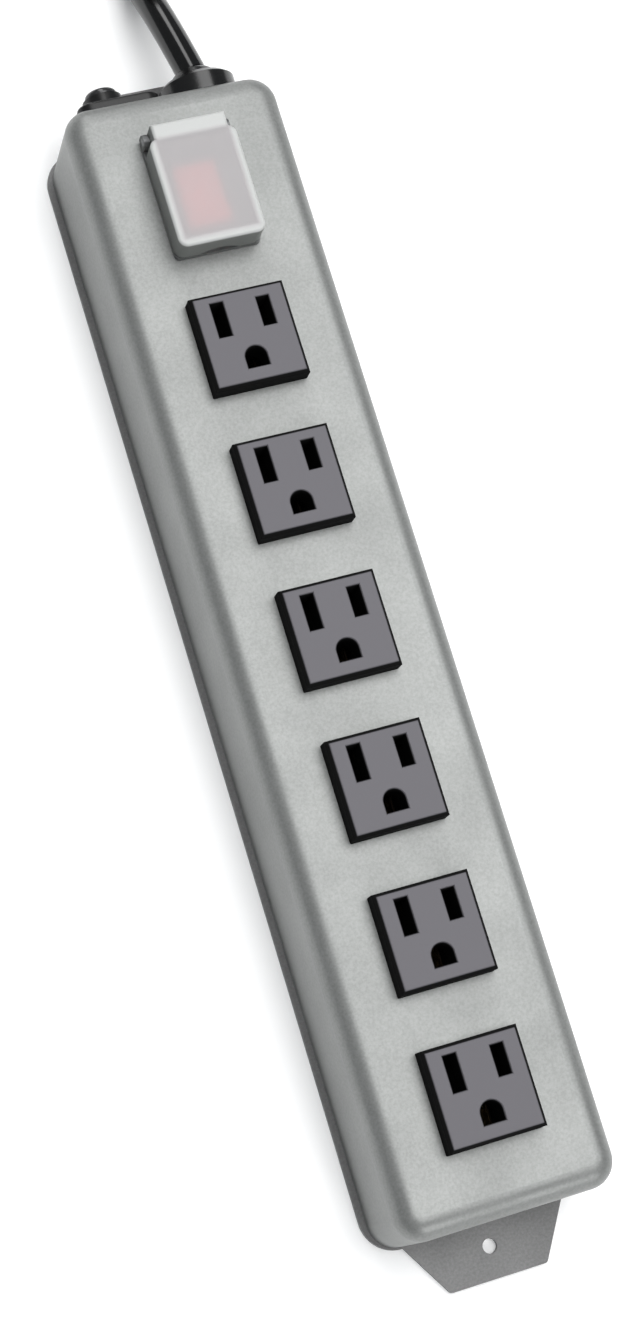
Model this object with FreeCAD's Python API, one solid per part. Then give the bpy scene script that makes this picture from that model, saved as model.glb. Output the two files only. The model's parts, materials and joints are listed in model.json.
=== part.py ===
"""Metal power strip: six grounded outlets in line, a guarded lit switch, a reset breaker and a mains lead.

Millimetres. X runs across the strip, Y along it with the cord end at +Y, Z up from the mounting surface.
The origin is the middle of the base plate's underside. Outlet 1 is the one nearest the switch.
"""

import math
import os

import FreeCAD
import Part

V = FreeCAD.Vector

# ---- Driving dimensions ------------------------------------------------------------------

# Base plate with an ear at each end
PLATE_WIDTH = 64.0
PLATE_LENGTH = 315.0
PLATE_THICK = 1.5
PLATE_CORNER = 9.5
EAR_ROOT = 45.0  # width of an ear where it leaves the plate
EAR_TIP = 27.4
EAR_REACH = 14.6  # how far an ear stands out past the plate
EAR_CORNER = 1.2
MOUNT_SPAN = 327.0  # between the two mounting holes
MOUNT_HOLE = 4.0

# Drawn steel housing
SHELL_WIDTH = 60.4
SHELL_LENGTH = 313.6
SHELL_TOP = 36.0
SHELL_WALL = 1.2
SHELL_CORNER = 7.5
SHELL_ROLL = 6.0  # radius of the edge between the top and the sides

# Outlets
OUTLET_COUNT = 6
OUTLET_PITCH = 41.275  # one and five eighths of an inch
FIRST_BLADE_Y = 87.4  # the line through outlet 1's two blade slots
BLADE_SPACING = 12.7
GROUND_OFFSET = 11.9  # from the blade line to the middle of the ground hole
FACE_OFFSET = 5.8  # from the blade line to the middle of the outlet's face
FACE_WIDTH = 26.4
FACE_LENGTH = 26.7
FACE_TOP = 41.7
FACE_BEVEL = 1.1
FACE_BEVEL_DROP = 1.1
FACE_EDGE = 0.35
FACE_FLANGE = 1.4  # how far the hidden flange stands out all round
FLANGE_THICK = 1.3
NEUTRAL_SLOT = (3.5, 9.6)
LINE_SLOT = (3.4, 8.1)
GROUND_HOLE_R = 2.95
LEAD_IN = 0.4
BASE_BOTTOM = 10.0

# Bus bars and their contacts
BUS_WIDTH = 3.6
BUS_THICK = 0.8
BUS_END_Y = 104.0
LEAF_THICK = 0.5
LEAF_LENGTH = 7.0
LEAF_TOP = 28.0
BLADE_GAP = 1.9
PIN_GAP = 5.1

# Screws and brackets
SCREW_X = 23.5
SCREW_Y = (-142.0, 0.0, 142.0)
SCREW_R = 1.5
SCREW_HEAD_R = 2.9
SCREW_LENGTH = 5.0
BRACKET_WIDTH = 12.0
BRACKET_HEIGHT = 13.0

# Rocker switch
SWITCH_Y = 124.0
SWITCH_BODY = (14.0, 20.0)
SWITCH_BOTTOM = 17.0
BEZEL_SIZE = (16.0, 22.6)
BEZEL_TOP = 37.8
WELL_SIZE = (11.6, 18.4)
ROCKER_WIDTH = 11.0
ROCKER_PIVOT_Z = 36.2
ROCKER_TILT = 10.0
PIVOT_R = 1.2
RUNNING_GAP = 0.05

# Clear switch guard
GUARD_Y = 125.3
GUARD_WIDTH = 24.4
GUARD_LENGTH = 35.2
GUARD_TOP = 46.2
GUARD_WALL = 1.4
GUARD_FRAME_TOP = 37.5
GUARD_CORNER = 2.6
HINGE_Y = 141.2
HINGE_Z = 39.7
HINGE_R = 1.9
HINGE_PIN_R = 1.0
TONGUE_HALF = 10.4

# Reset breaker in the far wall
BREAKER_X = (-22.4, -2.0)
BREAKER_Z = (15.4, 28.8)
BREAKER_DEPTH = 20.0
BREAKER_TAB_X = (-18.5, -11.0)
BREAKER_TAB_Z = 22.0
LEGEND_PLATE_X = (-23.8, -0.6)
LEGEND_PLATE_Z = (13.4, 30.8)
LEGEND_PLATE_THICK = 2.6
LEGEND_PLATE_CORNER = 4.0
BUTTON_X = -15.0
BUTTON_Z = 22.0
BUTTON_R = 4.6
BUTTON_OUT = 8.3  # from the wall to the button's end, pressed in
BUTTON_TRAVEL = 3.0
BUTTON_SPARE = 2.0  # room left in front of the flange when the button is out
BUTTON_FLANGE = 1.0  # how far the flange stands out round the button
BUTTON_FLANGE_THICK = 1.5
BREAKER_BORE = 12.0  # depth of the button's bore
COLLAR_R = 6.2
COLLAR_OUT = 6.0

# Mains lead
CORD_R = 4.3
CORD_X = 12.4
CORD_Z = 20.5
RELIEF_HEAD_R = 10.9
RELIEF_HEAD_THICK = 6.2
RELIEF_NOSE_OUT = 9.2
RELIEF_INSIDE = 12.6

# Tied hank of the lead, and the plug that lies on it
HANK_Y = 318.0
HANK_LOBE_Y = 52.0  # from the middle of the hank to the middle of each end fold
HANK_FOLD_R = 26.7
HANK_LAYERS = 4
HANK_WAIST_X = 4.7
TIE_THICK = 1.2
TIE_WIDTH = 15.0
PLUG_Y = 326.0  # where the plug's boot begins
PLUG_BOOT = 18.0
PLUG_TAPER = 10.0
PLUG_BLOCK = (27.0, 24.0, 22.0)
BLADE_SIZE = (6.3, 17.0, 1.5)
GROUND_PIN_R = 2.4
GROUND_PIN_LENGTH = 20.6

# Internal wiring
WIRE_R = 1.3
TAB_WIDTH = 6.3
TAB_THICK = 0.8

# ---- Worked-out dimensions ---------------------------------------------------------------

WALL_Y = SHELL_LENGTH / 2
INNER_WALL_Y = WALL_Y - SHELL_WALL
SHELL_UNDERSIDE = SHELL_TOP - SHELL_WALL
BLADE_X = BLADE_SPACING / 2
CORD_D = 2 * CORD_R
HANK_HEIGHT = HANK_LAYERS * CORD_D + 0.2
PLUG_Z = HANK_HEIGHT + 0.2 + PLUG_BLOCK[2] / 2
STUB_END_Y = WALL_Y - RELIEF_INSIDE - 5.0
OUTLET_BLADE_Y = [FIRST_BLADE_Y - OUTLET_PITCH * i for i in range(OUTLET_COUNT)]

# The lead's route between the strain relief and the hank, then from the hank's top to the plug
LEAD_ROUTE = [
    (CORD_X, WALL_Y + RELIEF_NOSE_OUT, CORD_Z),
    (10.0, 183.0, 18.0),
    (8.6, 203.0, 6.8),
    (10.5, 222.0, 4.4),
    (16.9, 240.0, 4.4),
]
TAIL_ROUTE = [
    (26.9, 273.7, HANK_HEIGHT + CORD_R),
    (19.3, 286.0, HANK_HEIGHT + CORD_R + 1.3),
    (5.0, 307.0, PLUG_Z - 1.0),
    (0.0, PLUG_Y, PLUG_Z),
]


# ---- Helpers -----------------------------------------------------------------------------


def box(x, y, z):
    """A block between the two limits given for each axis."""
    return Part.makeBox(x[1] - x[0], y[1] - y[0], z[1] - z[0], V(x[0], y[0], z[0]))


def centred_box(width, length, z, centre=(0, 0)):
    cx, cy = centre
    return box((cx - width / 2, cx + width / 2), (cy - length / 2, cy + length / 2), z)


def edges_where(shape, test):
    """The edges whose two ends both pass the test."""
    return [e for e in shape.Edges if all(test(v.Point) for v in e.Vertexes)]


def upright_edges(shape):
    boxes = [(e, e.BoundBox) for e in shape.Edges]
    return [e for e, b in boxes if b.ZLength > 0.1 and b.XLength + b.YLength < 1e-6]


def rings_where(shape, test):
    """The closed edges whose box passes the test."""
    return [e for e in shape.Edges if e.Closed and test(e.BoundBox)]


def slab(width, length, z, corner, centre=(0, 0)):
    """A plate with rounded corners in plan."""
    plate = centred_box(width, length, z, centre)
    return plate.makeFillet(corner, upright_edges(plate))


def rolled_box(width, length, z, corner, roll):
    """A block with rounded corners in plan and a rounded edge round its top."""
    block = slab(width, length, z, corner)
    return block.makeFillet(roll, edges_where(block, lambda p: abs(p.z - z[1]) < 1e-6))


def cylinder(start, direction, radius, length):
    return Part.makeCylinder(radius, length, V(*start), V(*direction))


def polygon_prism(points, push):
    """A flat outline given by its corners, pushed along a vector."""
    corners = [V(*p) for p in points]
    return Part.Face(Part.makePolygon(corners + corners[:1])).extrude(V(*push))


def revolved(profile, centre, direction):
    """A turned piece: (distance along the axis, radius) pairs, turned about the axis."""
    start = V(*centre)
    along = V(*direction)
    out = V(0, 0, 1) if abs(direction[2]) < 0.5 else V(1, 0, 0)
    corners = [start + along * a + out * r for a, r in profile]
    face = Part.Face(Part.makePolygon(corners + corners[:1]))
    return face.revolve(start, along, 360)


def union(shapes):
    joined = shapes[0]
    for shape in shapes[1:]:
        joined = joined.fuse(shape)
    return joined.removeSplitter()


def tube_path(points):
    """Straight runs joined by arcs as large as their runs allow; gives the wire and each arc's radius."""
    p = [V(*q) for q in points]
    edges = []
    radii = []
    here = p[0]
    for before, corner, after in zip(p, p[1:], p[2:]):
        arrive = (corner - before).normalize()
        leave = (after - corner).normalize()
        turn = arrive.getAngle(leave)
        reach = 0.45 * min((corner - before).Length, (after - corner).Length)
        radius = reach / math.tan(turn / 2)
        start = corner - arrive * reach
        end = corner + leave * reach
        inward = (leave - arrive).normalize()
        middle = corner + inward * (radius / math.cos(turn / 2) - radius)
        edges.append(Part.LineSegment(here, start).toShape())
        edges.append(Part.Arc(start, middle, end).toShape())
        radii.append(radius)
        here = end
    edges.append(Part.LineSegment(here, p[-1]).toShape())
    return Part.Wire(edges), radii


def tube(name, points, radius):
    """A round tube along a route; its volume is compared with its section times its length."""
    wire, radii = tube_path(points)
    direction = V(*points[1]) - V(*points[0])
    section = Part.Wire([Part.makeCircle(radius, V(*points[0]), direction)])
    solid = wire.makePipeShell([section], True, False)
    expected = math.pi * radius**2 * wire.Length
    sizes = ", ".join("%.0f" % r for r in radii)
    ratio = solid.Volume / expected
    print("%s: %.0f long, arc radii %s, volume ratio %.4f" % (name, wire.Length, sizes, ratio))
    return solid


def save(node, *pieces):
    """Write one node's solids to its own file."""
    solids = [s for piece in pieces for s in piece.Solids]
    shape = solids[0] if len(solids) == 1 else Part.makeCompound(solids)
    if not shape.isValid():
        raise ValueError(node + " isn't a valid shape")
    shape.exportStep("parts/%s.step" % node)
    print("%s: %d solid(s), %.0f mm3" % (node, len(solids), shape.Volume))


# ---- Enclosure ---------------------------------------------------------------------------


def screw_places():
    return [(side * SCREW_X, y) for y in SCREW_Y for side in (-1, 1)]


def base_plate():
    """Flat plate with a tapered mounting ear at each end and countersunk holes for the screws."""
    plate = slab(PLATE_WIDTH, PLATE_LENGTH, (0, PLATE_THICK), PLATE_CORNER)
    root_y = PLATE_LENGTH / 2
    tip_y = root_y + EAR_REACH
    ears = []
    for end in (-1, 1):
        corners = [
            (-EAR_ROOT / 2, end * (root_y - 3), 0),
            (-EAR_ROOT / 2, end * root_y, 0),
            (-EAR_TIP / 2, end * tip_y, 0),
            (EAR_TIP / 2, end * tip_y, 0),
            (EAR_ROOT / 2, end * root_y, 0),
            (EAR_ROOT / 2, end * (root_y - 3), 0),
        ]
        ear = polygon_prism(corners, (0, 0, PLATE_THICK))
        tips = [e for e in upright_edges(ear) if abs(abs(e.Vertexes[0].Y) - tip_y) < 1e-6]
        ears.append(ear.makeFillet(EAR_CORNER, tips))
    plate = union([plate] + ears)
    for end in (-1, 1):
        hole = cylinder((0, end * MOUNT_SPAN / 2, -1), (0, 0, 1), MOUNT_HOLE / 2, PLATE_THICK + 2)
        plate = plate.cut(hole)
    for x, y in screw_places():
        plate = plate.cut(cylinder((x, y, -1), (0, 0, 1), SCREW_R + 0.1, PLATE_THICK + 2))
        depth = SCREW_HEAD_R - SCREW_R
        plate = plate.cut(Part.makeCone(SCREW_HEAD_R + 0.1, SCREW_R + 0.1, depth, V(x, y, 0)))
    return plate


def base_screws():
    """Countersunk screws, heads flush with the plate's underside."""
    screws = []
    for x, y in screw_places():
        head = Part.makeCone(SCREW_HEAD_R, SCREW_R, SCREW_HEAD_R - SCREW_R, V(x, y, 0.05))
        shank = cylinder((x, y, 0.1), (0, 0, 1), SCREW_R, SCREW_LENGTH)
        recess = union(
            [
                centred_box(3.0, 0.8, (0, 0.85), (x, y)),
                centred_box(0.8, 3.0, (0, 0.85), (x, y)),
            ]
        )
        screws.append(union([head, shank]).cut(recess))
    return screws


def shell_brackets():
    """Angle brackets spot-welded inside the housing, tapped for the base screws."""
    inner_x = SHELL_WIDTH / 2 - SHELL_WALL
    brackets = []
    for x, y in screw_places():
        side = 1 if x > 0 else -1
        near, far = sorted((side * (SCREW_X - 4.5), side * inner_x))
        span = (y - BRACKET_WIDTH / 2, y + BRACKET_WIDTH / 2)
        foot = box((near, far), span, (PLATE_THICK, PLATE_THICK + 1.5))
        wall_near, wall_far = sorted((side * (inner_x - 1.5), side * inner_x))
        upright = box((wall_near, wall_far), span, (PLATE_THICK, PLATE_THICK + BRACKET_HEIGHT))
        hole = cylinder((x, y, 0), (0, 0, 1), SCREW_R, 5)
        brackets.append(union([foot, upright]).cut(hole))
    return brackets


def housing_shell():
    """Drawn steel cover, open underneath, with openings for outlets, switch, breaker and cord."""
    outer = rolled_box(SHELL_WIDTH, SHELL_LENGTH, (PLATE_THICK, SHELL_TOP), SHELL_CORNER, SHELL_ROLL)
    inner = rolled_box(
        SHELL_WIDTH - 2 * SHELL_WALL,
        SHELL_LENGTH - 2 * SHELL_WALL,
        (PLATE_THICK - 1, SHELL_UNDERSIDE),
        SHELL_CORNER - SHELL_WALL,
        SHELL_ROLL - SHELL_WALL,
    )
    shell = outer.cut(inner)
    top = (SHELL_UNDERSIDE - 2, SHELL_TOP + 2)
    for blade_y in OUTLET_BLADE_Y:
        opening = slab(FACE_WIDTH + 0.2, FACE_LENGTH + 0.2, top, FACE_EDGE, (0, blade_y - FACE_OFFSET))
        shell = shell.cut(opening)
    shell = shell.cut(centred_box(SWITCH_BODY[0] + 0.2, SWITCH_BODY[1] + 0.2, top, (0, SWITCH_Y)))
    wall = (INNER_WALL_Y - 3, WALL_Y + 3)
    shell = shell.cut(
        box(
            (BREAKER_X[0] - 0.1, BREAKER_X[1] + 0.1),
            wall,
            (BREAKER_Z[0] - 0.1, BREAKER_Z[1] + 0.1),
        )
    )
    return shell.cut(cylinder((CORD_X, wall[0], CORD_Z), (0, 1, 0), 7.4, 6 + SHELL_WALL))


def insulation_sheet():
    """Fibre sheet between the plate and the live parts."""
    return centred_box(34.0, 252.0, (PLATE_THICK, PLATE_THICK + 0.8), (0, -24.0))


# ---- Outlets -----------------------------------------------------------------------------


def slot_cutter(x, y, size):
    """A blade slot with a short lead-in taper at the face."""
    width, length = size
    slot = centred_box(width, length, (BASE_BOTTOM, FACE_TOP + 1), (x, y))
    low = Part.makePolygon(rectangle(x, y, width, length, FACE_TOP - LEAD_IN))
    high = Part.makePolygon(rectangle(x, y, width + 2 * LEAD_IN, length + 2 * LEAD_IN, FACE_TOP))
    return slot.fuse(Part.makeLoft([low, high], True, True))


def rectangle(x, y, width, length, z):
    """The five points of a closed rectangle."""
    signs = ((-1, -1), (1, -1), (1, 1), (-1, 1), (-1, -1))
    return [V(x + a * width / 2, y + b * length / 2, z) for a, b in signs]


def ground_outline(y, radius, z):
    """A D: round towards the blades and flat on the other side."""
    flat_y = y - 0.95 * radius
    left = V(-radius, y, z)
    right = V(radius, y, z)
    arc = Part.Arc(left, V(0, y + radius, z), right).toShape()
    sides = [
        Part.LineSegment(right, V(radius, flat_y, z)).toShape(),
        Part.LineSegment(V(radius, flat_y, z), V(-radius, flat_y, z)).toShape(),
        Part.LineSegment(V(-radius, flat_y, z), left).toShape(),
    ]
    return Part.Wire([arc] + sides)


def ground_cutter(y):
    hole = Part.Face(ground_outline(y, GROUND_HOLE_R, BASE_BOTTOM)).extrude(V(0, 0, FACE_TOP))
    low = ground_outline(y, GROUND_HOLE_R, FACE_TOP - LEAD_IN)
    high = ground_outline(y, GROUND_HOLE_R + LEAD_IN, FACE_TOP)
    return hole.fuse(Part.makeLoft([low, high], True, True))


def outlet_face(blade_y):
    """Bevelled face that stands proud of the housing, with a flange held under the housing's top."""
    centre = (0, blade_y - FACE_OFFSET)
    shoulder = FACE_TOP - FACE_BEVEL_DROP
    block = centred_box(FACE_WIDTH, FACE_LENGTH, (SHELL_UNDERSIDE - FLANGE_THICK, shoulder), centre)
    low = Part.makePolygon(rectangle(*centre, FACE_WIDTH, FACE_LENGTH, shoulder))
    flat = (FACE_WIDTH - 2 * FACE_BEVEL, FACE_LENGTH - 2 * FACE_BEVEL)
    high = Part.makePolygon(rectangle(*centre, *flat, FACE_TOP))
    face = union([block, Part.makeLoft([low, high], True, True)])
    face = face.makeFillet(FACE_EDGE, edges_where(face, lambda p: p.z > shoulder - 1e-6))
    flange = centred_box(
        FACE_WIDTH + 2 * FACE_FLANGE,
        FACE_LENGTH + 2 * FACE_FLANGE,
        (SHELL_UNDERSIDE - FLANGE_THICK, SHELL_UNDERSIDE),
        centre,
    )
    face = union([face, flange])
    face = face.cut(slot_cutter(-BLADE_X, blade_y, NEUTRAL_SLOT))
    face = face.cut(slot_cutter(BLADE_X, blade_y, LINE_SLOT))
    return face.cut(ground_cutter(blade_y - GROUND_OFFSET))


def outlet_base(blade_y):
    """Insulating block behind a face, with a cavity for each contact and channels for the bus bars."""
    centre = (0, blade_y - FACE_OFFSET)
    height = (BASE_BOTTOM, SHELL_UNDERSIDE - FLANGE_THICK)
    block = centred_box(FACE_WIDTH - 0.4, FACE_LENGTH - 0.4, height, centre)
    cavity = (BASE_BOTTOM - 1, height[1] + 1)
    block = block.cut(centred_box(4.6, 11.0, cavity, (-BLADE_X, blade_y)))
    block = block.cut(centred_box(4.6, 11.0, cavity, (BLADE_X, blade_y)))
    block = block.cut(centred_box(7.6, 8.4, cavity, (0, blade_y - GROUND_OFFSET)))
    for x in (-BLADE_X, 0, BLADE_X):
        depth = (BASE_BOTTOM - 1, BASE_BOTTOM + 2)
        block = block.cut(centred_box(BUS_WIDTH + 0.8, FACE_LENGTH + 2, depth, (x, centre[1])))
    return block


def bus_strip(x, last_y):
    return centred_box(
        BUS_WIDTH,
        BUS_END_Y - last_y,
        (BASE_BOTTOM + 0.2, BASE_BOTTOM + 0.2 + BUS_THICK),
        (x, (BUS_END_Y + last_y) / 2),
    )


def leaf_pair(x, y, gap):
    """Two upright spring leaves that grip a blade or pin."""
    foot = BASE_BOTTOM + 0.2 + BUS_THICK
    leaves = []
    for side in (-1, 1):
        centre = (x + side * (gap / 2 + LEAF_THICK / 2), y)
        leaves.append(centred_box(LEAF_THICK, LEAF_LENGTH, (foot, LEAF_TOP), centre))
    return leaves


def blade_bus(x):
    """One brass strip under all the outlets, with a pair of leaves at each."""
    pieces = [bus_strip(x, OUTLET_BLADE_Y[-1] - 6)]
    for blade_y in OUTLET_BLADE_Y:
        pieces += leaf_pair(x, blade_y, BLADE_GAP)
    return union(pieces)


def ground_bus():
    pieces = [bus_strip(0, OUTLET_BLADE_Y[-1] - GROUND_OFFSET - 5)]
    foot = BASE_BOTTOM + 0.2 + BUS_THICK
    for blade_y in OUTLET_BLADE_Y:
        y = blade_y - GROUND_OFFSET
        pieces.append(centred_box(PIN_GAP + 2 * LEAF_THICK, LEAF_LENGTH, (foot, foot + 0.6), (0, y)))
        pieces += leaf_pair(0, y, PIN_GAP)
    return union(pieces)


# ---- Switch ------------------------------------------------------------------------------


def switch_body():
    """Snap-in switch housing with a bezel, a well for the rocker and a pocket for its lamp."""
    body = centred_box(*SWITCH_BODY, (SWITCH_BOTTOM, SHELL_TOP), (0, SWITCH_Y))
    bezel = slab(*BEZEL_SIZE, (SHELL_TOP, BEZEL_TOP), 0.8, (0, SWITCH_Y))
    bezel = bezel.makeFillet(0.5, edges_where(bezel, lambda p: abs(p.z - BEZEL_TOP) < 1e-6))
    body = union([body, bezel])
    body = body.cut(centred_box(*WELL_SIZE, (31.0, BEZEL_TOP + 1), (0, SWITCH_Y)))
    body = body.cut(centred_box(5.0, 11.0, (25.5, 32.0), (0, SWITCH_Y)))
    bore = cylinder((-6.8, SWITCH_Y, ROCKER_PIVOT_Z), (1, 0, 0), PIVOT_R + RUNNING_GAP, 13.6)
    return body.cut(bore)


def switch_rocker():
    """Lit rocker on two stub pivots, stored switched on: its near half stands up."""
    half = ROCKER_WIDTH / 2
    far_half = [(0, 2.1), (8.2, 3.6), (8.6, -0.5), (7.0, -3.0)]
    near_half = [(-y, z) for y, z in far_half[:0:-1]]
    profile = far_half + [(0, -4.4)] + near_half
    corners = [(-half, SWITCH_Y + y, ROCKER_PIVOT_Z + z) for y, z in profile]
    rocker = polygon_prism(corners, (ROCKER_WIDTH, 0, 0))
    rims = [e for e in rocker.Edges if e.BoundBox.ZMin > ROCKER_PIVOT_Z + 2.0]
    rocker = rocker.makeFillet(0.5, rims)
    stubs = cylinder((-6.6, SWITCH_Y, ROCKER_PIVOT_Z), (1, 0, 0), PIVOT_R, 13.2)
    rocker = union([rocker, stubs])
    rocker.rotate(V(0, SWITCH_Y, ROCKER_PIVOT_Z), V(1, 0, 0), -ROCKER_TILT)
    return rocker


def switch_lamp():
    """Small neon tube lying in its pocket under the rocker."""
    glass = cylinder((0, SWITCH_Y - 4.5, 28.0), (0, 1, 0), 2.0, 9.0)
    ends = [e for e in glass.Edges if e.BoundBox.YLength < 1e-6]
    return glass.makeFillet(0.8, ends)


def switch_terminals():
    """Three push-on blades under the switch."""
    return [
        centred_box(TAB_WIDTH, TAB_THICK, (SWITCH_BOTTOM - 7, SWITCH_BOTTOM), (0, SWITCH_Y + step))
        for step in (-6, 0, 6)
    ]


# ---- Switch guard ------------------------------------------------------------------------


def guard_frame():
    """Clear rim round the switch bezel, with two ears for the hinge pin."""
    low_y = GUARD_Y - GUARD_LENGTH / 2
    high_y = HINGE_Y + HINGE_R
    centre = (0, (low_y + high_y) / 2)
    rim = slab(GUARD_WIDTH, high_y - low_y, (SHELL_TOP, GUARD_FRAME_TOP), 1.6, centre)
    opening = (BEZEL_SIZE[0] + 0.4, BEZEL_SIZE[1] + 0.4)
    window = slab(*opening, (SHELL_TOP - 1, GUARD_FRAME_TOP + 1), 1.0, (0, SWITCH_Y))
    frame = rim.cut(window)
    for side in (-1, 1):
        near, far = sorted((side * (TONGUE_HALF + 0.3), side * GUARD_WIDTH / 2))
        post = box((near, far), (HINGE_Y - HINGE_R, HINGE_Y + HINGE_R), (GUARD_FRAME_TOP - 0.5, HINGE_Z))
        crown = cylinder((near, HINGE_Y, HINGE_Z), (1, 0, 0), HINGE_R, far - near)
        frame = union([frame, post, crown])
    bore = cylinder((-GUARD_WIDTH, HINGE_Y, HINGE_Z), (1, 0, 0), HINGE_PIN_R, 2 * GUARD_WIDTH)
    return frame.cut(bore)


def guard_lid():
    """Clear five-sided cover with a finger notch at its free end, hinged at the cord end."""
    low_y = GUARD_Y - GUARD_LENGTH / 2
    shoulder_y = HINGE_Y - HINGE_R - 0.3
    bottom = GUARD_FRAME_TOP + 0.3
    centre = (0, (low_y + shoulder_y) / 2)
    outer = slab(GUARD_WIDTH, shoulder_y - low_y, (bottom, GUARD_TOP), GUARD_CORNER, centre)
    across = (-TONGUE_HALF, TONGUE_HALF)
    tongue = box(across, (shoulder_y - 3, HINGE_Y + HINGE_R), (HINGE_Z, GUARD_TOP))
    knuckle = cylinder((-TONGUE_HALF, HINGE_Y, HINGE_Z), (1, 0, 0), HINGE_R, 2 * TONGUE_HALF)
    bridge = box(across, (shoulder_y - 1, HINGE_Y), (HINGE_Z - 0.9, HINGE_Z + 1))
    lid = union([outer, tongue, knuckle, bridge])
    lid = lid.makeFillet(0.8, edges_where(lid, lambda p: abs(p.z - GUARD_TOP) < 1e-6))
    hollow = slab(
        GUARD_WIDTH - 2 * GUARD_WALL,
        shoulder_y - low_y - 2 * GUARD_WALL,
        (bottom - 1, GUARD_TOP - GUARD_WALL),
        GUARD_CORNER - GUARD_WALL,
        centre,
    )
    lid = lid.cut(hollow)
    bore_r = HINGE_PIN_R + RUNNING_GAP
    bore = cylinder((-GUARD_WIDTH, HINGE_Y, HINGE_Z), (1, 0, 0), bore_r, 2 * GUARD_WIDTH)
    notch = cylinder((0, low_y - 1, bottom - 5.2), (0, 1, 0), 7.5, 4)
    return lid.cut(bore).cut(notch)


def guard_pin():
    return cylinder((-GUARD_WIDTH / 2, HINGE_Y, HINGE_Z), (1, 0, 0), HINGE_PIN_R, GUARD_WIDTH)


# ---- Breaker -----------------------------------------------------------------------------


def breaker_body():
    """Breaker housing behind the far wall, bored for its button."""
    body = box(BREAKER_X, (INNER_WALL_Y - BREAKER_DEPTH, WALL_Y), BREAKER_Z)
    bore_r = BUTTON_R + BUTTON_FLANGE + 0.2
    bore = cylinder((BUTTON_X, WALL_Y - BREAKER_BORE, BUTTON_Z), (0, 1, 0), bore_r, BREAKER_BORE + 1)
    return body.cut(bore)


def legend_plate():
    """Outside plate of the breaker, blank beside the button, with a collar round it."""
    span = (WALL_Y, WALL_Y + LEGEND_PLATE_THICK)
    plate = box(LEGEND_PLATE_X, span, LEGEND_PLATE_Z)
    plate = plate.makeFillet(LEGEND_PLATE_CORNER, [e for e in plate.Edges if e.BoundBox.YLength > 1])
    plate = plate.makeFillet(0.9, edges_where(plate, lambda p: abs(p.y - span[1]) < 1e-6))
    collar_start = V(BUTTON_X, WALL_Y + 1, BUTTON_Z)
    collar = Part.makeCone(COLLAR_R, COLLAR_R - 0.7, COLLAR_OUT - 1, collar_start, V(0, 1, 0))
    plate = union([plate, collar])
    bore = cylinder((BUTTON_X, WALL_Y - 1, BUTTON_Z), (0, 1, 0), BUTTON_R + RUNNING_GAP, 12)
    return plate.cut(bore)


def reset_button():
    """Round push button with a domed end and a flange that stops it inside the breaker."""
    end = WALL_Y + BUTTON_OUT
    start = WALL_Y - BUTTON_TRAVEL - BUTTON_SPARE - BUTTON_FLANGE_THICK
    stem = cylinder((BUTTON_X, start, BUTTON_Z), (0, 1, 0), BUTTON_R, end - start)
    stem = stem.makeFillet(1.6, rings_where(stem, lambda b: abs(b.YMin - end) < 1e-6))
    flange_r = BUTTON_R + BUTTON_FLANGE
    flange = cylinder((BUTTON_X, start, BUTTON_Z), (0, 1, 0), flange_r, BUTTON_FLANGE_THICK)
    return union([stem, flange])


def breaker_terminals():
    """Two push-on blades at the back of the breaker."""
    back = INNER_WALL_Y - BREAKER_DEPTH
    height = (BREAKER_TAB_Z - TAB_THICK / 2, BREAKER_TAB_Z + TAB_THICK / 2)
    return [
        box((x - TAB_WIDTH / 2, x + TAB_WIDTH / 2), (back - 7, back), height)
        for x in BREAKER_TAB_X
    ]


# ---- Cord entry and wiring ---------------------------------------------------------------


def relief_window(gap):
    """The space that the strain relief's locking wedge fills, grown by a gap."""
    return box(
        (CORD_X - 3.2 - gap, CORD_X + 3.2 + gap),
        (WALL_Y - RELIEF_INSIDE - 1, WALL_Y - 2 + gap),
        (CORD_Z + CORD_R + 0.5 - gap, CORD_Z + 12),
    )


def relief_blank():
    """Bushing: tapered nose and round head outside, barbed barrel inside."""
    profile = [
        (-RELIEF_INSIDE, CORD_R),
        (-RELIEF_INSIDE, 6.4),
        (-4.6, 7.0),
        (-3.4, 8.2),
        (-SHELL_WALL, 8.2),
        (-SHELL_WALL, 7.3),
        (0.0, 7.3),
        (0.0, RELIEF_HEAD_R),
        (RELIEF_HEAD_THICK - 1.2, RELIEF_HEAD_R),
        (RELIEF_HEAD_THICK, RELIEF_HEAD_R - 1.4),
        (RELIEF_HEAD_THICK, 7.2),
        (RELIEF_NOSE_OUT - 0.5, 5.8),
        (RELIEF_NOSE_OUT, 5.2),
        (RELIEF_NOSE_OUT, CORD_R),
    ]
    return revolved(profile, (CORD_X, WALL_Y, CORD_Z), (0, 1, 0))


def strain_relief():
    return relief_blank().cut(relief_window(0.1))


def relief_wedge():
    return relief_blank().common(relief_window(0))


def cord_stub():
    """The end of the jacket, from the nose to where the conductors part."""
    return cylinder((CORD_X, STUB_END_Y, CORD_Z), (0, 1, 0), CORD_R, WALL_Y + RELIEF_NOSE_OUT - STUB_END_Y)


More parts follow.
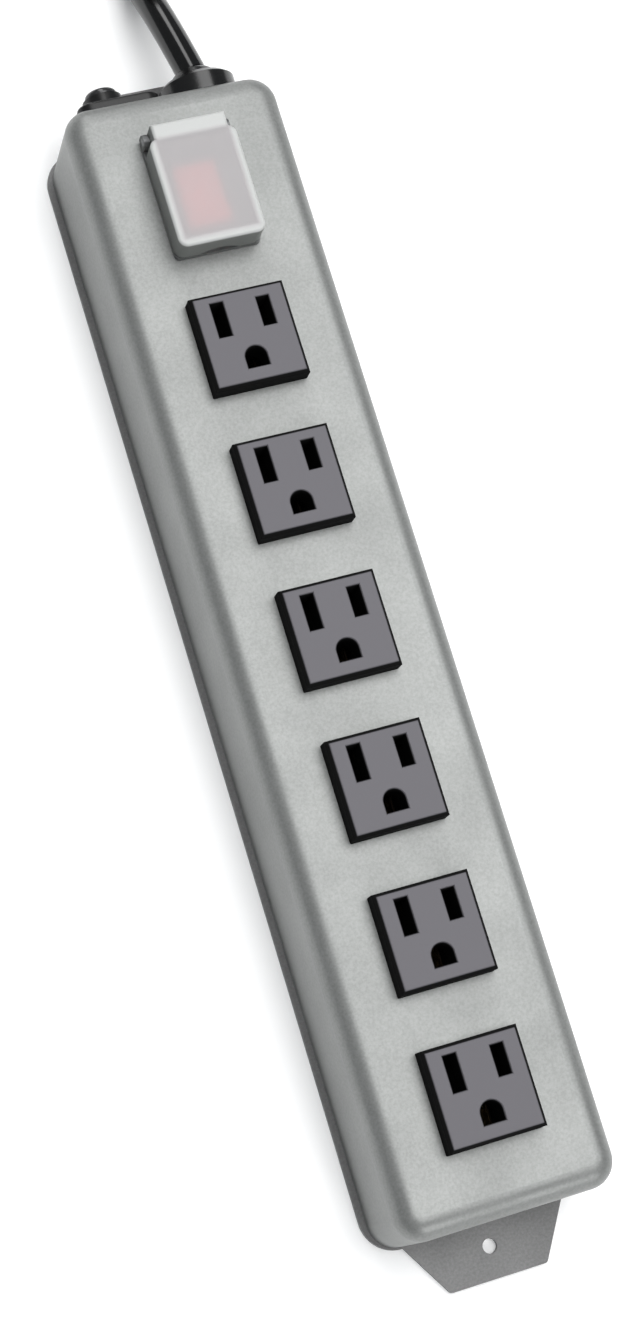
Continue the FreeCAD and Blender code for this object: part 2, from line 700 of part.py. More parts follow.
def flag_connectors():
    """Push-on connectors: three on the switch, two on the breaker and three on the bus bars."""
    connectors = []
    for step in (-6, 0, 6):
        centre = (0, SWITCH_Y + step)
        sleeve = centred_box(7.4, 3.2, (SWITCH_BOTTOM - 10.5, SWITCH_BOTTOM - 2), centre)
        depth = (SWITCH_BOTTOM - 7.2, SWITCH_BOTTOM)
        slot = centred_box(TAB_WIDTH + 0.2, TAB_THICK + 0.2, depth, centre)
        connectors.append(sleeve.cut(slot))
    back = INNER_WALL_Y - BREAKER_DEPTH
    for x in BREAKER_TAB_X:
        sleeve = box((x - 3.7, x + 3.7), (back - 10, back - 1.5), (20.4, 23.6))
        slot = box((x - 3.25, x + 3.25), (back - 7.2, back), (21.5, 22.5))
        connectors.append(sleeve.cut(slot))
    for x in (-BLADE_X, 0, BLADE_X):
        sleeve = box((x - 2.4, x + 2.4), (BUS_END_Y - 6, BUS_END_Y + 4), (8.8, 12.4))
        height = (BASE_BOTTOM + 0.1, BASE_BOTTOM + 1.1)
        slot = box((x - 1.9, x + 1.9), (BUS_END_Y - 7, BUS_END_Y + 0.2), height)
        connectors.append(sleeve.cut(slot))
    return connectors


def wires():
    """Insulated wires from the lead to the breaker, switch, bus bars and the plate's earth screw."""
    back = INNER_WALL_Y - BREAKER_DEPTH
    outer_x, inner_x = BREAKER_TAB_X
    start_y = STUB_END_Y + 1
    bus_y = BUS_END_Y + 2.5
    routes = {
        "wire_line_in": [
            (CORD_X - 1.6, start_y, CORD_Z + 1.4),
            (9.6, 137, 17),
            (7, 133.5, 7),
            (-4, 133.5, 4.6),
            (-16, 131, 4.6),
            (-22, 124, 6),
            (-22.5, 116.5, 11),
            (-20.5, 114.5, 18),
            (outer_x, 118.5, 22),
            (outer_x, back - 9, 22),
        ],
        "wire_switch_in": [
            (inner_x, back - 9, 22),
            (inner_x, 119.5, 22),
            (-12, 113.8, 17),
            (-12, 114.5, 9.5),
            (-8.5, 118, 7.9),
            (-3.2, 118, 7.9),
        ],
        "wire_switch_out": [
            (3.2, 124, 7.9),
            (8.5, 123.5, 7.9),
            (11.5, 118, 8.5),
            (9.5, 112.5, 10.4),
            (BLADE_X, 110, 10.6),
            (BLADE_X, bus_y, 10.6),
        ],
        "wire_neutral": [
            (CORD_X + 2.3, start_y, CORD_Z + 0.6),
            (14.8, 134, 18.5),
            (15.8, 123, 9),
            (14, 114.5, 4.3),
            (4, 111.5, 3.9),
            (-3, 112.5, 3.9),
            (-6.6, 114.5, 5.6),
            (-6.6, 114, 10.2),
            (-BLADE_X, 110.5, 10.6),
            (-BLADE_X, bus_y, 10.6),
        ],
        "wire_ground": [
            (CORD_X, start_y, CORD_Z - 2.3),
            (13.5, 136, 12),
            (19.5, 127, 6),
            (21, 117, 3.6),
        ],
    }
    return {name: tube(name, route, WIRE_R) for name, route in routes.items()}


def ground_screw():
    """Earth screw standing in the plate, with its washer head on the ring terminal."""
    stem = cylinder((21, 108, PLATE_THICK), (0, 0, 1), 2.0, 2.2)
    head_top = PLATE_THICK + 3.6
    head = cylinder((21, 108, PLATE_THICK + 1.0), (0, 0, 1), 4.0, 2.6)
    head = head.makeFillet(0.8, rings_where(head, lambda b: abs(b.ZMin - head_top) < 1e-6))
    slot = centred_box(9, 1.0, (PLATE_THICK + 2.6, PLATE_THICK + 4), (21, 108))
    return union([stem, head]).cut(slot)


def ring_terminal():
    """Crimped ring under the earth screw."""
    ring = cylinder((21, 108, PLATE_THICK), (0, 0, 1), 4.6, 1.0)
    neck = centred_box(4.0, 6.0, (PLATE_THICK, PLATE_THICK + 1.0), (21, 113))
    barrel = cylinder((21, 113.5, PLATE_THICK + 2.1), (0, 1, 0), 2.1, 5.0)
    terminal = union([ring, neck, barrel])
    return terminal.cut(cylinder((21, 108, 0), (0, 0, 1), 2.0, 6))


# ---- Mains lead, hank and plug -----------------------------------------------------------


def cord_hank():
    """Outer shape of the tied hank: two round end folds drawn in to a narrow waist."""
    reach = HANK_FOLD_R + CORD_R
    waist = HANK_WAIST_X + CORD_R
    solids = []
    for end in (-1, 1):
        lobe_y = HANK_Y + end * HANK_LOBE_Y
        neck_y = HANK_Y + end * TIE_WIDTH / 2
        solids.append(cylinder((0, lobe_y, 0), (0, 0, 1), reach, HANK_HEIGHT))
        lean = math.atan2(reach - waist, HANK_LOBE_Y - TIE_WIDTH / 2)
        corners = [
            (-waist, neck_y, 0),
            (-reach * math.cos(lean), lobe_y - end * reach * math.sin(lean), 0),
            (reach * math.cos(lean), lobe_y - end * reach * math.sin(lean), 0),
            (waist, neck_y, 0),
        ]
        solids.append(polygon_prism(corners, (0, 0, HANK_HEIGHT)))
    solids.append(centred_box(2 * waist, TIE_WIDTH, (TIE_THICK, HANK_HEIGHT + TIE_THICK), (0, HANK_Y)))
    return union(solids)


def hank_tie():
    """Strap round the hank's waist."""
    waist = HANK_WAIST_X + CORD_R
    height = (0, HANK_HEIGHT + 2 * TIE_THICK)
    strap = centred_box(2 * (waist + TIE_THICK), TIE_WIDTH - 0.4, height, (0, HANK_Y))
    strap = strap.makeFillet(1.0, [e for e in strap.Edges if e.BoundBox.YLength > 1])
    return strap.cut(centred_box(2 * waist, TIE_WIDTH, (TIE_THICK, HANK_HEIGHT + TIE_THICK), (0, HANK_Y)))


def plug_body():
    """Moulded plug lying on its side: ribbed boot, tapered shoulder and block."""
    width, length, height = PLUG_BLOCK
    boot_end = PLUG_Y + PLUG_BOOT
    block_start = boot_end + PLUG_TAPER
    boot = Part.makeCone(5.2, 6.8, PLUG_BOOT, V(0, PLUG_Y, PLUG_Z), V(0, 1, 0))
    low = Part.Wire([Part.makeCircle(6.8, V(0, boot_end, PLUG_Z), V(0, 1, 0))])
    block = box(
        (-width / 2, width / 2),
        (block_start, block_start + length),
        (PLUG_Z - height / 2, PLUG_Z + height / 2),
    )
    block = block.makeFillet(3.0, [e for e in block.Edges if e.BoundBox.YLength > 1])
    high = min(block.Faces, key=lambda f: f.CenterOfMass.y).OuterWire
    shoulder = Part.makeLoft([low, high], True)
    block = block.makeFillet(1.0, edges_where(block, lambda p: abs(p.y - block_start - length) < 1e-6))
    grooves = [
        cylinder((0, PLUG_Y + 4 + 4 * k, PLUG_Z), (0, 1, 0), 9, 1.4).cut(
            cylinder((0, PLUG_Y + 3 + 4 * k, PLUG_Z), (0, 1, 0), 4.9 + 0.36 * k, 4)
        )
        for k in range(3)
    ]
    body = union([boot, shoulder, block])
    for groove in grooves:
        body = body.cut(groove)
    return body


def plug_front():
    return PLUG_Y + PLUG_BOOT + PLUG_TAPER + PLUG_BLOCK[1]


def plug_blades():
    """Two flat blades, one above the other as the plug lies."""
    width, length, thick = BLADE_SIZE
    blades = []
    for side in (-1, 1):
        z = PLUG_Z + side * BLADE_X
        x = FACE_OFFSET
        span = (plug_front(), plug_front() + length)
        blade = box((x - width / 2, x + width / 2), span, (z - thick / 2, z + thick / 2))
        tip = [e for e in blade.Edges if e.BoundBox.YMin > span[1] - 1e-6 and e.BoundBox.ZLength < 1e-6]
        blades.append(blade.makeChamfer(0.5, tip))
    return blades


def plug_ground_pin():
    x = FACE_OFFSET - GROUND_OFFSET
    pin = cylinder((x, plug_front(), PLUG_Z), (0, 1, 0), GROUND_PIN_R, GROUND_PIN_LENGTH)
    end = plug_front() + GROUND_PIN_LENGTH
    return pin.makeFillet(1.6, rings_where(pin, lambda b: abs(b.YMin - end) < 1e-6))


# ---- Build -------------------------------------------------------------------------------

os.makedirs("parts", exist_ok=True)

save("base_plate", base_plate())
save("base_screws", *base_screws())
save("shell_brackets", *shell_brackets())
save("housing_shell", housing_shell())
save("insulation_sheet", insulation_sheet())

for number, slot_y in enumerate(OUTLET_BLADE_Y, 1):
    save("outlet_face_%d" % number, outlet_face(slot_y))
    save("outlet_base_%d" % number, outlet_base(slot_y))
save("line_bus", blade_bus(BLADE_X))
save("neutral_bus", blade_bus(-BLADE_X))
save("ground_bus", ground_bus())

save("switch_body", switch_body())
save("switch_rocker", switch_rocker())
save("switch_lamp", switch_lamp())
save("switch_terminals", *switch_terminals())
save("guard_frame", guard_frame())
save("guard_lid", guard_lid())
save("guard_pin", guard_pin())

save("breaker_body", breaker_body())
save("legend_plate", legend_plate())
save("reset_button", reset_button())
save("breaker_terminals", *breaker_terminals())

save("strain_relief", strain_relief())
save("relief_wedge", relief_wedge())
save("cord_stub", cord_stub())
save("flag_connectors", *flag_connectors())
for wire_name, wire in wires().items():
    save(wire_name, wire)
save("ground_screw", ground_screw())
save("ring_terminal", ring_terminal())

save("cord_lead", tube("cord_lead", LEAD_ROUTE, CORD_R))
save("cord_hank", cord_hank())
save("hank_tie", hank_tie())
save("cord_tail", tube("cord_tail", TAIL_ROUTE, CORD_R))
save("plug_body", plug_body())
save("plug_blades", *plug_blades())
save("plug_ground_pin", plug_ground_pin())
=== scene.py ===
"""Looks for the metal power strip: camera, mains lead, its strap, materials, floor and light.

The shapes are the CAD nodes, apart from the lead and the strap. Lengths are in mm unless a name or a
comment says otherwise; MM turns them into metres.
"""

import json
import math

import bmesh
import bpy
from mathutils import Matrix, Vector


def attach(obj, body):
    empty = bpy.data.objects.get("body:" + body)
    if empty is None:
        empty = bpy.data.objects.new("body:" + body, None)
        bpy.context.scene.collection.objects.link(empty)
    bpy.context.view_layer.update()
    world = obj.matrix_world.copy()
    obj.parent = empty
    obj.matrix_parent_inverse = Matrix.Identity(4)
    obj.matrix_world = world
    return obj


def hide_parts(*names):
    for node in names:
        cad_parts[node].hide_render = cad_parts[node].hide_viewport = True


MM = 0.001

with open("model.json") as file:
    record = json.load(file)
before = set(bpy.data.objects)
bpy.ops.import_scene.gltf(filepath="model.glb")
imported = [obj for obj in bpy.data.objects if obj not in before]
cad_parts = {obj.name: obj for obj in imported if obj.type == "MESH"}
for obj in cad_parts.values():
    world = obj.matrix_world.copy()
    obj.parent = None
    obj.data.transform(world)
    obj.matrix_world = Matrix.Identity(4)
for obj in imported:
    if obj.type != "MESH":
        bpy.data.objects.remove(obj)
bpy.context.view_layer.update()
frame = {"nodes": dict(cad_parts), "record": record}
nodes = frame["nodes"]

# ---- Camera ------------------------------------------------------------------------------

# In metres; found from the corners of the six outlet faces
CAMERA_PLACE = (-0.195856, -0.138495, 0.728313)
CAMERA_FORWARD = Vector((0.25930449, 0.17941997, -0.94898349))
CAMERA_UP = Vector((0.23985466, 0.93984486, 0.24323113))
LENS = 76.1
SENSOR = 36.0

camera = bpy.data.objects.new("camera", bpy.data.cameras.new("camera"))
camera.data.lens = LENS
camera.data.sensor_width = SENSOR
camera.data.clip_start = 0.01
camera.data.clip_end = 100.0
right = CAMERA_FORWARD.cross(CAMERA_UP).normalized()
turned = Matrix((right, right.cross(CAMERA_FORWARD).normalized(), -CAMERA_FORWARD)).transposed()
camera.matrix_world = Matrix.Translation(CAMERA_PLACE) @ turned.to_4x4()
bpy.context.scene.collection.objects.link(camera)
bpy.context.scene.camera = camera

# ---- Mains lead --------------------------------------------------------------------------

CORD_D = 8.6
HANK_Y = 318.0  # middle of the hank
LOBE_Y = 51.7  # from there to the centre of each fold
FOLD_R = 27.95  # radius that a fold's control points lie on
FOLD_STEP = 30.25  # degrees between them
FOLD_POINTS = 8
FAR_START = -15.9  # angle of the far fold's first point, in degrees
NEAR_START = 164.1
CLIMB_LEAD = 15.0  # the climb onto the next layer starts this many degrees before the first point
CLIMB_SWEEP = 135.0  # and takes this many in all
LAYER = 8.65  # from one layer's middle to the next
FLOOR_Z = 4.4  # middle of the lead where it lies on the floor
TURNS = 4

# Control points of the lead from the strain relief to the floor, and from the hank to the plug
LEAD_ROUTE = [
    (12.4, 166.0, 20.5),
    (10.0, 183.0, 18.0),
    (8.6, 203.0, 6.8),
    (10.5, 222.0, FLOOR_Z),
    (16.9, 240.0, FLOOR_Z),
]
TAIL_ROUTE = [
    (26.9, 273.7, 38.9),
    (19.3, 286.0, 40.2),
    (5.0, 307.0, 44.8),
    (0.0, 326.0, 45.8),
]

# Where the lead joins the hank's bottom layer
JOIN = [(25.4, 259.0, FLOOR_Z), (24.2, 276.0, FLOOR_Z)]

# One side of the hank's waist: distance out, distance along from the middle, lift over the strap
WAIST = [(19.3, -32.0, 0.0), (4.6, -8.0, 1.1), (4.6, 8.0, 1.1), (19.3, 32.0, 0.0)]


def fold(centre_y, start, base, climb):
    """Control points round one end of the hank, from the start angle, climbing onto the next layer."""
    points = []
    for step in range(FOLD_POINTS):
        turned = step * FOLD_STEP
        a = math.radians(start + turned)
        rise = climb * min(1.0, (turned + CLIMB_LEAD) / CLIMB_SWEEP)
        points.append((FOLD_R * math.cos(a), centre_y + FOLD_R * math.sin(a), base + rise))
    return points


def hank_turn(base):
    """One figure of the hank: up its right side, round the far fold, down its left side, and round
    the near fold."""
    up = [(x, HANK_Y + y, base + lift) for x, y, lift in WAIST]
    down = [(-x, HANK_Y - y, base + lift) for x, y, lift in WAIST]
    far = fold(HANK_Y + LOBE_Y, FAR_START, base, 0.0)
    near = fold(HANK_Y - LOBE_Y, NEAR_START, base, LAYER)
    return up + far + down + near


def lead_points():
    """The whole lead, from the relief through the hank to the plug."""
    points = LEAD_ROUTE + JOIN
    for turn in range(TURNS):
        points += hank_turn(FLOOR_Z + turn * LAYER)
    return points[:-1] + TAIL_ROUTE


def smooth_curve(name, points, radius):
    """A round NURBS curve drawn by its control points, in mm."""
    curve = bpy.data.curves.new(name, "CURVE")
    curve.dimensions = "3D"
    curve.bevel_depth = 1.0  # the points' own radius gives the size, which keeps the piece's box tight
    curve.bevel_resolution = 6
    curve.resolution_u = 8
    curve.use_fill_caps = True
    spline = curve.splines.new("NURBS")
    spline.points.add(len(points) - 1)
    for point, place in zip(spline.points, points):
        point.co = (place[0] * MM, place[1] * MM, place[2] * MM, 1)
        point.radius = radius * MM
    spline.order_u = 3
    spline.use_endpoint_u = True
    piece = bpy.data.objects.new(name, curve)
    bpy.context.scene.collection.objects.link(piece)
    return piece


lead = smooth_curve("mains_lead", lead_points(), CORD_D / 2)
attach(lead, "strip")
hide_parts("cord_lead", "cord_hank", "cord_tail")

# ---- Strap round the hank ----------------------------------------------------------------

STRAP_WIDTH = 15.0
STRAP_THICK = 1.15
# The loop's middle line: half its size across the lead, its bottom and top, and its corners' radius
STRAP_HALF = 9.6
STRAP_LOW = 0.62
STRAP_HIGH = 36.4
STRAP_CORNER = 4.4
CORNER_POINTS = 7
STRAP_LAP = 1.3  # how far the second layer stands off the first
STRAP_START_X = 3.0
LAP_CUT = 2  # points left off the last corner, where the lap ends


def strap_line():
    """Middle line of the strap across the lead: once round the waist, then on over itself."""
    side = STRAP_HALF - STRAP_CORNER
    top = STRAP_HIGH - STRAP_CORNER
    bottom = STRAP_LOW + STRAP_CORNER
    once = [(side, top, 90), (side, bottom, 0), (-side, bottom, -90), (-side, top, -180)]
    again = [(side, top, -270)]
    line = []
    for cx, cz, first in once + again:
        reach = STRAP_CORNER if first > -270 else STRAP_CORNER + STRAP_LAP
        for step in range(CORNER_POINTS):
            a = math.radians(first - step * 90 / (CORNER_POINTS - 1))
            line.append((cx + reach * math.cos(a), cz + reach * math.sin(a)))
    return [(STRAP_START_X, STRAP_HIGH)] + line[:-LAP_CUT]


def band(name, line, centre_y, width, thick):
    """A flat woven band along a line in XZ, with a raised selvedge down each edge."""
    # The section as shares of the width and the thickness: an edge, the other edge, the underside
    section = [(-0.5, 0.25), (-0.5, 0.85), (-0.47, 1.0), (-0.43, 1.0), (-0.40, 0.72)]
    section += [(-y, h) for y, h in reversed(section)]
    section += [(0.44, 0.0), (0.0, 0.0), (-0.44, 0.0)]
    shape = bmesh.new()
    rings = []
    for k, (x, z) in enumerate(line):
        before, after = line[max(k - 1, 0)], line[min(k + 1, len(line) - 1)]
        along = Vector((after[0] - before[0], after[1] - before[1])).normalized()
        out = Vector((-along.y, along.x))
        ring = []
        for y, h in section:
            lift = (h - 0.5) * thick
            place = Vector((x + out.x * lift, centre_y + y * width, z + out.y * lift))
            ring.append(shape.verts.new(place * MM))
        rings.append(ring)
    for one, two in zip(rings, rings[1:]):
        for k in range(len(one)):
            shape.faces.new((one[k], one[(k + 1) % len(one)], two[(k + 1) % len(one)], two[k]))
    shape.faces.new(rings[0])
    shape.faces.new(list(reversed(rings[-1])))
    bmesh.ops.recalc_face_normals(shape, faces=shape.faces)
    mesh = bpy.data.meshes.new(name)
    shape.to_mesh(mesh)
    shape.free()
    for face in mesh.polygons:
        face.use_smooth = True
    piece = bpy.data.objects.new(name, mesh)
    bpy.context.scene.collection.objects.link(piece)
    return piece


strap = band("hank_strap", strap_line(), HANK_Y, STRAP_WIDTH, STRAP_THICK)
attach(strap, "strip")
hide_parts("hank_tie")

# ---- Materials ---------------------------------------------------------------------------

FINE_BAND = (0.35, 0.65)  # values of the fine noise between which one colour turns into the other
BROAD_BAND = (0.3, 0.7)  # the same of the broad noise, for roughness
BROAD_SHARE = 30  # how many times larger the broad noise's features are


def principled(name, colour, roughness, metallic=0.0, **sockets):
    """A material with one Principled shader; extra sockets are named with _ for each space."""
    material = bpy.data.materials.new(name)
    material.use_nodes = True
    shader = material.node_tree.nodes["Principled BSDF"]
    shader.inputs["Base Color"].default_value = (*colour, 1)
    shader.inputs["Roughness"].default_value = roughness
    shader.inputs["Metallic"].default_value = metallic
    for socket, value in sockets.items():
        shader.inputs[socket.replace("_", " ")].default_value = value
    return material


def glowing(material, colour, strength):
    """Gives a material its own light."""
    shader = material.node_tree.nodes["Principled BSDF"]
    shader.inputs["Emission Color"].default_value = (*colour, 1)
    shader.inputs["Emission Strength"].default_value = strength


def noise(tree, scale, detail, roughness, stretch):
    """A noise over object coordinates, in features per metre; gives its value socket."""
    place = tree.nodes.new("ShaderNodeTexCoord")
    mapping = tree.nodes.new("ShaderNodeMapping")
    mapping.inputs["Scale"].default_value = stretch
    texture = tree.nodes.new("ShaderNodeTexNoise")
    texture.inputs["Scale"].default_value = scale
    texture.inputs["Detail"].default_value = detail
    texture.inputs["Roughness"].default_value = roughness
    tree.links.new(place.outputs["Object"], mapping.inputs["Vector"])
    tree.links.new(mapping.outputs["Vector"], texture.inputs["Vector"])
    return texture.outputs["Fac"]


def coordinate(tree, axis):
    """One object coordinate, in metres."""
    place = tree.nodes.new("ShaderNodeTexCoord")
    split = tree.nodes.new("ShaderNodeSeparateXYZ")
    tree.links.new(place.outputs["Object"], split.inputs["Vector"])
    return split.outputs[axis]


def ramp(tree, source, low, high, start, end):
    """The source mapped from low..high to start..end, held at both limits."""
    mapped = tree.nodes.new("ShaderNodeMapRange")
    mapped.inputs["From Min"].default_value = low
    mapped.inputs["From Max"].default_value = high
    mapped.inputs["To Min"].default_value = start
    mapped.inputs["To Max"].default_value = end
    tree.links.new(source, mapped.inputs["Value"])
    return mapped.outputs["Result"]


def mixed(tree, share, first, second):
    """Two colours mixed by a share; each is a colour or another node's output."""
    mix = tree.nodes.new("ShaderNodeMix")
    mix.data_type = "RGBA"
    for name, colour in (("A", first), ("B", second)):
        if isinstance(colour, tuple):
            mix.inputs[name].default_value = (*colour, 1)
        else:
            tree.links.new(colour, mix.inputs[name])
    tree.links.new(share, mix.inputs["Factor"])
    return mix.outputs["Result"]


def calculated(tree, operation, first, second):
    """A math node's value from an output and a number or another output."""
    node = tree.nodes.new("ShaderNodeMath")
    node.operation = operation
    tree.links.new(first, node.inputs[0])
    if isinstance(second, float):
        node.inputs[1].default_value = second
    else:
        tree.links.new(second, node.inputs[1])
    return node.outputs["Value"]


def grained(
    name, colours, roughness, scale, bump, metallic=0.0, stretch=(1, 1, 1), heights=None, **sockets
):
    """A surface with a fine grain: two colours, a range of roughness and a bump's height in mm.

    The colours and the roughness change with the grain or, where heights are given, from the first to
    the second between those two heights.
    """
    material = principled(name, colours[0], roughness[0], metallic, **sockets)
    tree = material.node_tree
    shader = tree.nodes["Principled BSDF"]
    fine = noise(tree, scale, 3.0, 0.6, stretch)
    if heights:
        low, high = heights
        tone = wear = ramp(tree, coordinate(tree, "Z"), low * MM, high * MM, 0, 1)
    else:
        tone = ramp(tree, fine, *FINE_BAND, 0, 1)
        wear = ramp(tree, noise(tree, scale / BROAD_SHARE, 2.0, 0.5, stretch), *BROAD_BAND, 0, 1)
    tree.links.new(mixed(tree, tone, *colours), shader.inputs["Base Color"])
    tree.links.new(ramp(tree, wear, 0, 1, *roughness), shader.inputs["Roughness"])
    relief = tree.nodes.new("ShaderNodeBump")
    relief.inputs["Strength"].default_value = 1.0
    relief.inputs["Distance"].default_value = bump * MM
    tree.links.new(fine, relief.inputs["Height"])
    tree.links.new(relief.outputs["Normal"], shader.inputs["Normal"])
    return material


# painted shade: the contacts turn near black above these heights, standing in for the shade down the
# outlets' openings
CONTACT_PAINTED_SHADE = (10.0, 14.0)  # contacts are dark above this, under the outlets' openings
# painted shade: below these heights the outlets are near black, for the shade on their sides and in their
# openings
OUTLET_PAINTED_SHADE = (41.35, 41.62)  # outlets are black below this, in the openings and on the sides

housing = grained(
    "housing_paint", ((0.195, 0.201, 0.195), (0.235, 0.241, 0.235)), (0.40, 0.50), 1400, 0.015, 0.5
)
plate = grained("plate_paint", ((0.11, 0.11, 0.11), (0.14, 0.14, 0.14)), (0.42, 0.52), 1400, 0.015, 0.5)
screws = grained("screw_zinc", ((0.55, 0.55, 0.57), (0.68, 0.68, 0.70)), (0.25, 0.38), 900, 0.01, 1.0)
galvanised = grained("galvanised", ((0.42, 0.43, 0.44), (0.60, 0.61, 0.62)), (0.35, 0.5), 260, 0.01, 1.0)
fibre = grained(
    "fibre_sheet", ((0.14, 0.10, 0.07), (0.26, 0.20, 0.14)), (0.75, 0.9), 900, 0.05, 0.0, (1, 0.2, 1)
)
# painted shade: brass low down, near black higher up towards the outlets' openings, for the shade in them
brass = grained(
    "brass",
    ((0.60, 0.43, 0.19), (0.014, 0.010, 0.007)),
    (0.34, 0.5),
    300,
    0.01,
    1.0,
    (1, 0.1, 1),
    CONTACT_PAINTED_SHADE,
)
tin = grained("tinned_brass", ((0.58, 0.56, 0.50), (0.72, 0.70, 0.64)), (0.25, 0.4), 400, 0.01, 1.0)
nickel = grained(
    "nickel_blade", ((0.62, 0.58, 0.46), (0.76, 0.71, 0.58)), (0.18, 0.3), 500, 0.008, 1.0, (1, 0.1, 1)
)
# painted shade: near black below the face, the outlets' dark grey plastic on the face
outlet = grained(
    "outlet_black",
    ((0.002, 0.002, 0.002), (0.118, 0.114, 0.125)),
    (0.8, 0.42),
    1800,
    0.012,
    heights=OUTLET_PAINTED_SHADE,
    IOR=1.22,
)
insulator = grained(
    "insulator", ((0.006, 0.006, 0.006), (0.010, 0.010, 0.010)), (0.6, 0.75), 1200, 0.02, IOR=1.34
)
trim = grained(
    "trim_black", ((0.004, 0.004, 0.004), (0.007, 0.007, 0.007)), (0.28, 0.38), 1500, 0.01, IOR=1.38
)
nylon = grained(
    "nylon_black", ((0.004, 0.004, 0.004), (0.007, 0.007, 0.007)), (0.16, 0.24), 1500, 0.012, IOR=1.5
)
button = grained("button_grey", ((0.016, 0.016, 0.017), (0.024, 0.024, 0.025)), (0.18, 0.26), 1500, 0.008)
jacket = grained("cord_jacket", ((0.003, 0.003, 0.003), (0.005, 0.005, 0.005)), (0.14, 0.20), 700, 0.01)
plug = grained("plug_vinyl", ((0.006, 0.006, 0.006), (0.011, 0.011, 0.011)), (0.4, 0.5), 1600, 0.03)
woven = grained(
    "tie_weave", ((0.012, 0.012, 0.013), (0.035, 0.035, 0.037)), (0.8, 0.95), 1400, 0.2, Sheen_Weight=0.4
)
red_sleeve = grained("connector_red", ((0.35, 0.03, 0.03), (0.45, 0.05, 0.05)), (0.35, 0.45), 900, 0.01)
wire_black = grained("wire_black", ((0.015, 0.015, 0.015), (0.025, 0.025, 0.025)), (0.35, 0.45), 900, 0.01)
wire_white = grained("wire_white", ((0.72, 0.72, 0.70), (0.80, 0.80, 0.78)), (0.35, 0.45), 900, 0.01)
wire_green = grained("wire_green", ((0.02, 0.22, 0.06), (0.03, 0.30, 0.09)), (0.35, 0.45), 900, 0.01)
rocker = grained(
    "rocker_red",
    ((0.62, 0.03, 0.03), (0.72, 0.05, 0.05)),
    (0.2, 0.3),
    900,
    0.006,
    Transmission_Weight=0.35,
    IOR=1.58,
)
# painted glow: the rocker gives its own red light, standing in for the lamp's light shining through it
glowing(rocker, (1.0, 0.10, 0.08), 0.6)


LID_TOP = 46.2
# painted shade: below its top the lid's sides take a dark colour, for the shade on them
TOP_BAND = (1.0, 0.4)  # the lid's sides turn into its top between these distances below it
LID_MIDDLE = (0.0, 124.2)
WINDOW_HALF = (10.6, 14.6)  # half the window's size across and along
WINDOW_EDGE = 0.7  # half the width of the change from window to rim
WINDOW_CLEAR = 0.62  # share of the light let through
RIM_CLEAR = 0.25


def frosted(name, window, rim, side):
    """Milky clear plastic for the guard's lid: its window, the rim round it and sides darkened with
    painted shade.
    """
    material = grained(name, (window, rim), (0.34, 0.46), 500, 0.012, IOR=1.46)
    tree = material.node_tree
    shader = tree.nodes["Principled BSDF"]
    edges = []
    for axis, centre, reach in zip("XY", LID_MIDDLE, WINDOW_HALF):
        offset = calculated(tree, "SUBTRACT", coordinate(tree, axis), centre * MM)
        away = calculated(tree, "ABSOLUTE", offset, 0.0)
        edges.append(ramp(tree, away, (reach - WINDOW_EDGE) * MM, (reach + WINDOW_EDGE) * MM, 0, 1))
    edge = calculated(tree, "MAXIMUM", *edges)
    low, high = (LID_TOP - drop for drop in TOP_BAND)
    over = ramp(tree, coordinate(tree, "Z"), low * MM, high * MM, 0, 1)
    colour = mixed(tree, over, side, mixed(tree, edge, window, rim))
    tree.links.new(colour, shader.inputs["Base Color"])
    clearness = ramp(tree, edge, 0, 1, WINDOW_CLEAR, RIM_CLEAR)
    tree.links.new(clearness, shader.inputs["Transmission Weight"])
    return material


# painted shade: the third colour darkens the lid's sides
lid_plastic = frosted("lid_frosted", (0.68, 0.65, 0.66), (0.55, 0.56, 0.55), (0.20, 0.21, 0.20))
# painted shade: the frame's clear plastic is dark grey, for the shade seen through its walls
clear = grained(
    "guard_clear",
    ((0.22, 0.23, 0.23), (0.30, 0.31, 0.31)),
    (0.25, 0.35),
    500,
    0.01,
    Transmission_Weight=0.7,
    IOR=1.46,
)
lamp = grained(
    "lamp_glass", ((1.0, 0.72, 0.55), (1.0, 0.8, 0.66)), (0.06, 0.14), 800, 0.01, Transmission_Weight=0.6
)
glowing(lamp, (1.0, 0.35, 0.12), 2.0)

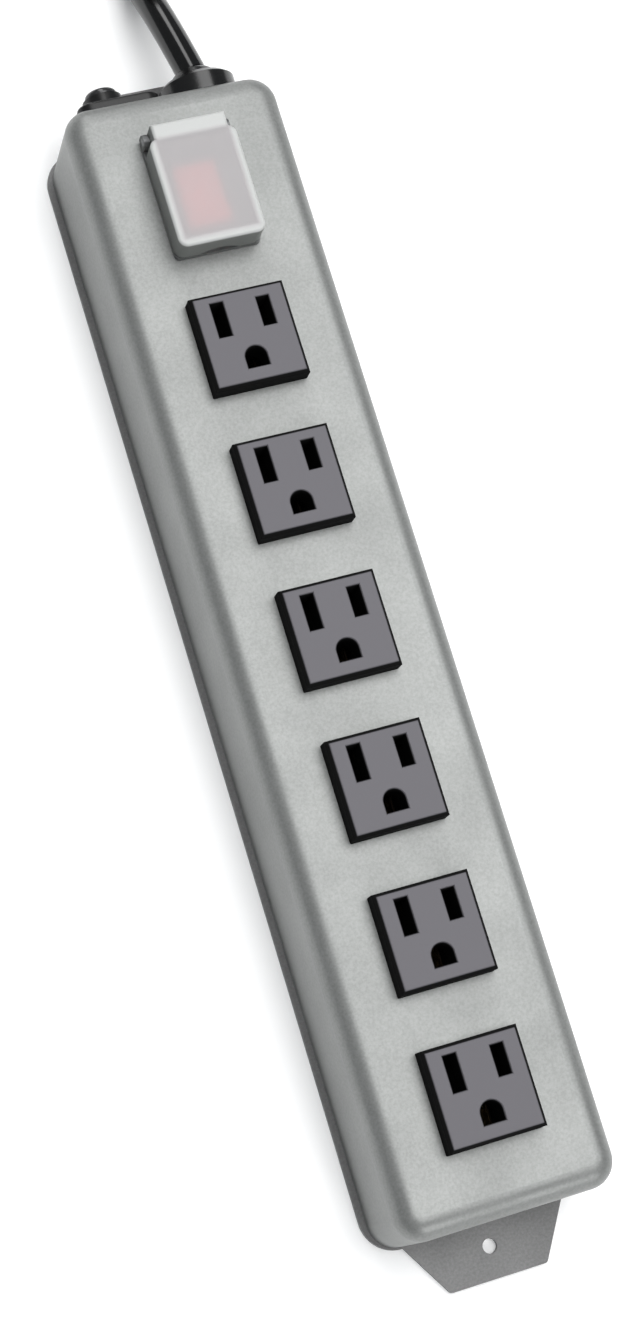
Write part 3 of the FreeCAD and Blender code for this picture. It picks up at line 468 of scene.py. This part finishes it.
SLOT_MATERIALS = {
    "housing_paint": housing,
    "plate_paint": plate,
    "screw_steel": screws,
    "bracket_steel": galvanised,
    "fibre_sheet": fibre,
    "bus_brass": brass,
    "switch_black": trim,
    "rocker_red": rocker,
    "lamp_glass": lamp,
    "terminal_tin": tin,
    "guard_clear": clear,
    "pin_steel": screws,
    "breaker_black": insulator,
    "trim_black": trim,
    "button_grey": button,
    "relief_black": nylon,
    "cord_black": jacket,
    "connector_red": red_sleeve,
    "wire_black": wire_black,
    "wire_white": wire_white,
    "wire_green": wire_green,
    "tie_fabric": woven,
    "plug_black": plug,
    "blade_metal": nickel,
    "outlet_black": outlet,
    "outlet_insulator": insulator,
}

for part in frame["record"]["subparts"]:
    mesh = nodes[part["node"]].data
    mesh.materials.clear()
    mesh.materials.append(SLOT_MATERIALS[part["material_slot"]])

nodes["guard_lid"].data.materials[0] = lid_plastic
lead.data.materials.append(jacket)
strap.data.materials.append(woven)

# ---- Floor and light ---------------------------------------------------------------------

FLOOR_REACH = 20.0  # metres from the middle to each side

floor_mesh = bpy.data.meshes.new("floor")
shape = bmesh.new()
bmesh.ops.create_grid(shape, x_segments=1, y_segments=1, size=FLOOR_REACH)
shape.to_mesh(floor_mesh)
shape.free()
floor = bpy.data.objects.new("floor", floor_mesh)
floor_white = principled("floor_white", (0.93, 0.93, 0.93), 0.9)
glowing(floor_white, (1, 1, 1), 0.1)
floor_mesh.materials.append(floor_white)
bpy.context.scene.collection.objects.link(floor)


def area_light(name, place, size, watts, aim=(0, 0, 0)):
    """A soft rectangular light at a place, turned to face its aim; in metres and watts."""
    light = bpy.data.lights.new(name, "AREA")
    light.shape = "RECTANGLE"
    light.size = size[0]
    light.size_y = size[1]
    light.energy = watts
    holder = bpy.data.objects.new(name, light)
    holder.location = place
    holder.rotation_mode = "QUATERNION"
    holder.rotation_quaternion = (Vector(aim) - Vector(place)).to_track_quat("-Z", "Y")
    bpy.context.scene.collection.objects.link(holder)


area_light("overhead", (0.28, 0.12, 1.4), (1.4, 1.6), 28.0)
area_light("behind", (0.08, 1.9, 1.25), (0.7, 1.9), 18.0, (0, 0.16, 0.02))
area_light("in_front", (0.25, -1.7, 0.8), (1.0, 0.6), 11.0, (0, -0.16, 0.02))

world = bpy.data.worlds.new("studio")
world.use_nodes = True
world.node_tree.nodes["Background"].inputs["Color"].default_value = (0.9, 0.95, 1.0, 1)
world.node_tree.nodes["Background"].inputs["Strength"].default_value = 0.21
bpy.context.scene.world = world
bpy.context.scene.view_settings.view_transform = "Standard"
